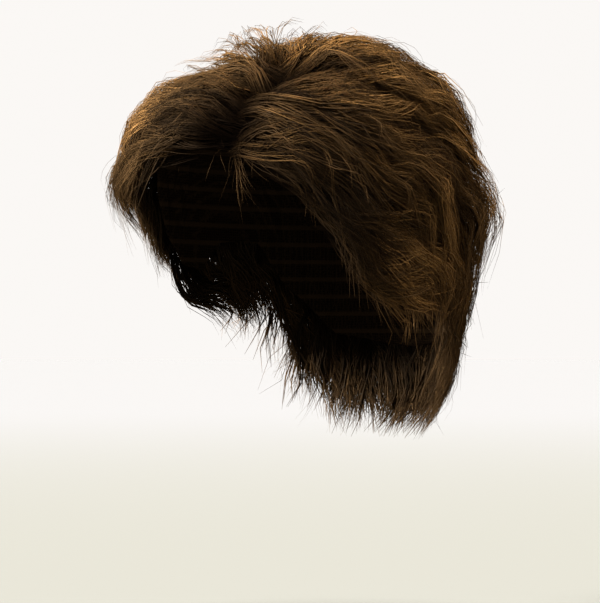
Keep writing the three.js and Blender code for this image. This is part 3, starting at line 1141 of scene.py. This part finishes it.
class WIG_PG_hair(bpy.types.PropertyGroup):
    """The hair's strands and colours."""

    strand_width: size(0.4, "Strand width", "Width of a drawn strand, coarser than a hair so that it shows")
    loose_width: size(0.19, "Loose hair width", "Width of a drawn loose hair")
    tuft_width: size(0.3, "Tuft width", "Width of a drawn strand in the tufts that stand up")
    flatness: bpy.props.FloatProperty(
        name="Flatness",
        description="Depth of a strand as a share of its width",
        subtype="FACTOR",
        default=0.6,
    )
    wave_length: size(56, "Wave length", "Length of the soft wave in the locks")
    wave_angle: angle(23, "Wave angle", "How far the wave swings a lock to each side")
    # The roots' colour is painted shade.
    root: colour("050302", "Roots", "Colour at the roots")
    dark: colour("1a140e", "Dark", "Colour of the darkest locks")
    middle: colour("3b2b19", "Middle", "Colour of most locks")
    light: colour("6e502e", "Light", "Colour of the lightest locks")
    # The tips' colour is partly real wear and partly a painted glow of light through them.
    tip: colour("46321c", "Tips", "Colour that the tips tend to")


class WIG_PG_cap(bpy.types.PropertyGroup):
    """The cap's net and wefts."""

    weft_gap: size(11, "Weft gap", "Gap between two rows of wefts")
    net_gap: size(1.6, "Net gap", "Size of the net's holes")
    stitch_gap: size(0.7, "Stitch gap", "Size of the net's finest roughness")
    # The holes are painted near black, as painted shade in them.
    hollow: colour("080503", "Holes", "Colour in the net's holes")
    thread: colour("1b130b", "Thread", "Colour of the net's thread")
    weft: colour("20170e", "Wefts", "Colour of the sewn wefts")


class WIG_PG_stage(bpy.types.PropertyGroup):
    """The camera, the light and the floor."""

    azimuth: angle(46.5, "Azimuth", "Angle of the camera round from the front to the left")
    distance: size(1400, "Distance", "Distance of the camera from the wig's upright axis")
    eye: size(-152.7, "Eye level", "Height of the camera")
    aim_right: size(-2.4, "Aim right", "How far to the right of the axis the camera aims")
    aim_up: size(19, "Aim up", "How far above its eye level the camera aims")
    lens: bpy.props.FloatProperty(
        name="Lens", description="Focal length", unit="CAMERA", default=138.6
    )
    floor: size(-330, "Floor", "Height of the floor")
    # The floor is painted darker under the wig than far off: painted shade.
    floor_near: colour("4b4a45", "Floor", "Colour of the floor under the wig, in strong light")
    floor_far: colour("51504f", "Far floor", "Colour of the floor far off, in strong light")


class WIG_OT_stage(bpy.types.Operator):
    """Makes the camera, the soft light and the pale floor"""

    bl_idname = "wig.stage"
    bl_label = "Set the stage"

    def execute(self, context):
        stage = context.scene.wig_stage
        turn = stage.azimuth
        right = Vector((math.cos(turn), math.sin(turn), 0))
        towards = Vector((math.sin(turn), -math.cos(turn), 0))
        set_camera(context, stage, right, towards)
        set_lights(context, right, towards)
        set_floor(context, stage)
        return {"FINISHED"}


def set_camera(context, stage, right, towards):
    """The camera, level with the lower half of the wig."""
    data = bpy.data.cameras.new("camera")
    data.lens = stage.lens
    camera = bpy.data.objects.new("camera", data)
    context.scene.collection.objects.link(camera)
    eye = Vector((0, 0, stage.eye))
    camera.location = eye + towards * stage.distance
    aim = eye + right * stage.aim_right + Vector((0, 0, stage.aim_up))
    camera.rotation_euler = (aim - camera.location).to_track_quat("-Z", "Y").to_euler()
    context.scene.camera = camera


class Light(NamedTuple):
    """A soft light, far off: where it comes from, to the right, towards the camera and up, how wide it looks
    in degrees, and its strength in watts per square metre."""

    name: str
    place: tuple
    width: float
    strength: float


LIGHTS = (
    Light("key_light", (-1.5, 0.45, 0.85), 26, 21.0),
    Light("top_light", (0.0, -0.2, 1.4), 40, 25.0),
    Light("side_light", (1.4, -0.3, 0.7), 40, 3.5),
)
# The surround's strength as a light and as it is seen.
SURROUND_LIGHT = 0.12
SURROUND_SEEN = 0.9627
SURROUND_COLOUR = "fffcf9"


def set_lights(context, right, towards):
    """Soft lights round the wig, and a pale surround that is brighter to look at than as a light."""
    for row in LIGHTS:
        data = bpy.data.lights.new(row.name, "SUN")
        data.energy = row.strength
        data.angle = math.radians(row.width)
        light = bpy.data.objects.new(row.name, data)
        context.scene.collection.objects.link(light)
        place = right * row.place[0] + towards * row.place[1] + Vector((0, 0, row.place[2]))
        light.location = place
        light.rotation_euler = (-place).to_track_quat("-Z", "Y").to_euler()
    world = bpy.data.worlds.new("surround")
    world.use_nodes = True
    context.scene.world = world
    tree = world.node_tree
    seen = add_node(tree, "ShaderNodeLightPath").outputs["Is Camera Ray"]
    strength = add_node(
        tree,
        "ShaderNodeMapRange",
        {"Value": seen, "To Min": SURROUND_LIGHT, "To Max": SURROUND_SEEN},
    )
    surround = tree.nodes["Background"]
    surround.inputs["Color"].default_value = linear(SURROUND_COLOUR)
    tree.links.new(strength.outputs["Result"], surround.inputs["Strength"])
    context.scene.view_settings.view_transform = "Standard"


# The floor's radius and the two radii between which its colour fades from the painted shade under the wig
# to the far colour, in metres.
FLOOR_RADIUS = 14.0
FLOOR_FADE = (0.3, 4.0)
FLOOR_SIDES = 72


def set_floor(context, stage):
    """A wide round floor, painted a little darker under the wig as painted shade, that fades into the
    surround.
    """
    mesh = bpy.data.meshes.new("floor")
    rim = [math.radians(360 / FLOOR_SIDES * i) for i in range(FLOOR_SIDES)]
    vertices = [(FLOOR_RADIUS * math.cos(a), FLOOR_RADIUS * math.sin(a), stage.floor) for a in rim]
    mesh.from_pydata(vertices, [], [range(len(rim))])
    material, tree, shader = new_material("paper_floor")
    place = add_node(tree, "ShaderNodeTexCoord").outputs["Object"]
    away = add_node(tree, "ShaderNodeVectorMath", {0: place}, operation="LENGTH")
    far = add_node(
        tree,
        "ShaderNodeMapRange",
        {"Value": away.outputs["Value"], "From Min": FLOOR_FADE[0], "From Max": FLOOR_FADE[1]},
        interpolation_type="SMOOTHSTEP",
    )
    paper = add_node(
        tree,
        "ShaderNodeMix",
        {
            "Factor": far.outputs["Result"],
            MIX_FIRST: (*stage.floor_near, 1.0),
            MIX_SECOND: (*stage.floor_far, 1.0),
        },
        data_type="RGBA",
    )
    tree.links.new(paper.outputs[MIX_RESULT], shader.inputs["Base Color"])
    shader.inputs["Roughness"].default_value = 1.0
    shader.inputs["Specular IOR Level"].default_value = 0.0
    mesh.materials.append(material)
    floor = bpy.data.objects.new("floor", mesh)
    context.scene.collection.objects.link(floor)


class WIG_OT_cap(bpy.types.Operator):
    """Gives the cap its net and wefts"""

    bl_idname = "wig.cap"
    bl_label = "Finish the cap"

    def execute(self, context):
        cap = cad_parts["cap"]
        cap.data.materials.clear()
        cap.data.materials.append(cap_net(context.scene.wig_cap))
        return {"FINISHED"}


class WIG_OT_hair_section(bpy.types.Operator):
    """Combs one section of hair over the cap"""

    bl_idname = "wig.hair_section"
    bl_label = "Comb a section of hair"

    section: bpy.props.EnumProperty(
        name="Section",
        description="The section of hair to comb",
        items=[(row.name, row.name.replace("_", " "), "") for row in SECTIONS],
    )

    def execute(self, context):
        hair = context.scene.wig_hair
        row = next(row for row in SECTIONS if row.name == self.section)
        rng = np.random.default_rng(row.seed)
        strands = split_locks(section_locks(row, hair, rng), row, rng)
        piece = sweep_strands(
            f"{row.name}_strands", strands, hair.strand_width, hair.flatness, real_hair(hair)
        )
        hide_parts(row.name)
        return {"FINISHED"}


# The strands outside the sections, and what makes the locks of each.
LOOSE_PIECES = (
    (BROW_WISPS, wisp_locks),
    (PARTING_TUFTS, standing_locks),
    (LOOSE_HAIR, section_locks),
)
# The wisps and tufts keep the painted shade of the roots further along them than the loose hairs do.
WISP_ALONG = 0.6


class WIG_OT_loose_hair(bpy.types.Operator):
    """Adds the wisps at the front edge, the tufts behind the parting and the hairs loose of the locks"""

    bl_idname = "wig.loose_hair"
    bl_label = "Add wisps and loose hairs"

    def execute(self, context):
        hair = context.scene.wig_hair
        for row, locks_of in LOOSE_PIECES:
            rng = np.random.default_rng(row.seed)
            strands = split_locks(locks_of(row, hair, rng), row, rng)
            if row is not LOOSE_HAIR:
                strands = strands._replace(along=strands.along * WISP_ALONG)
            width = hair.tuft_width if row is PARTING_TUFTS else hair.loose_width
            sweep_strands(row.name, strands, width, 1.0, real_hair(hair))
        return {"FINISHED"}


class WIG_PT_panel(bpy.types.Panel):
    """Lists what makes the wig"""

    bl_idname = "WIG_PT_panel"
    bl_label = "Real hair wig"
    bl_space_type = "VIEW_3D"
    bl_region_type = "UI"
    bl_category = "Wig"

    def draw(self, context):
        for group in (context.scene.wig_hair, context.scene.wig_cap, context.scene.wig_stage):
            box = self.layout.box()
            for key in group.__annotations__:
                box.prop(group, key)
        self.layout.operator(WIG_OT_stage.bl_idname)
        self.layout.operator(WIG_OT_cap.bl_idname)
        self.layout.operator_menu_enum(WIG_OT_hair_section.bl_idname, "section")
        self.layout.operator(WIG_OT_loose_hair.bl_idname)


CLASSES = (
    WIG_PG_hair,
    WIG_PG_cap,
    WIG_PG_stage,
    WIG_OT_stage,
    WIG_OT_cap,
    WIG_OT_hair_section,
    WIG_OT_loose_hair,
    WIG_PT_panel,
)


def register():
    """Adds the classes and the scene's properties."""
    for cls in CLASSES:
        bpy.utils.register_class(cls)
    bpy.types.Scene.wig_hair = bpy.props.PointerProperty(type=WIG_PG_hair)
    bpy.types.Scene.wig_cap = bpy.props.PointerProperty(type=WIG_PG_cap)
    bpy.types.Scene.wig_stage = bpy.props.PointerProperty(type=WIG_PG_stage)


def unregister():
    """Takes them away again."""
    for key in ("wig_stage", "wig_cap", "wig_hair"):
        delattr(bpy.types.Scene, key)
    for cls in reversed(CLASSES):
        bpy.utils.unregister_class(cls)


def main():
    """Makes the wig and its stage."""
    register()
    bpy.ops.wig.stage()
    bpy.ops.wig.cap()
    for row in SECTIONS:
        bpy.ops.wig.hair_section(section=row.name)
    bpy.ops.wig.loose_hair()


if __name__ == "__main__":
    main()
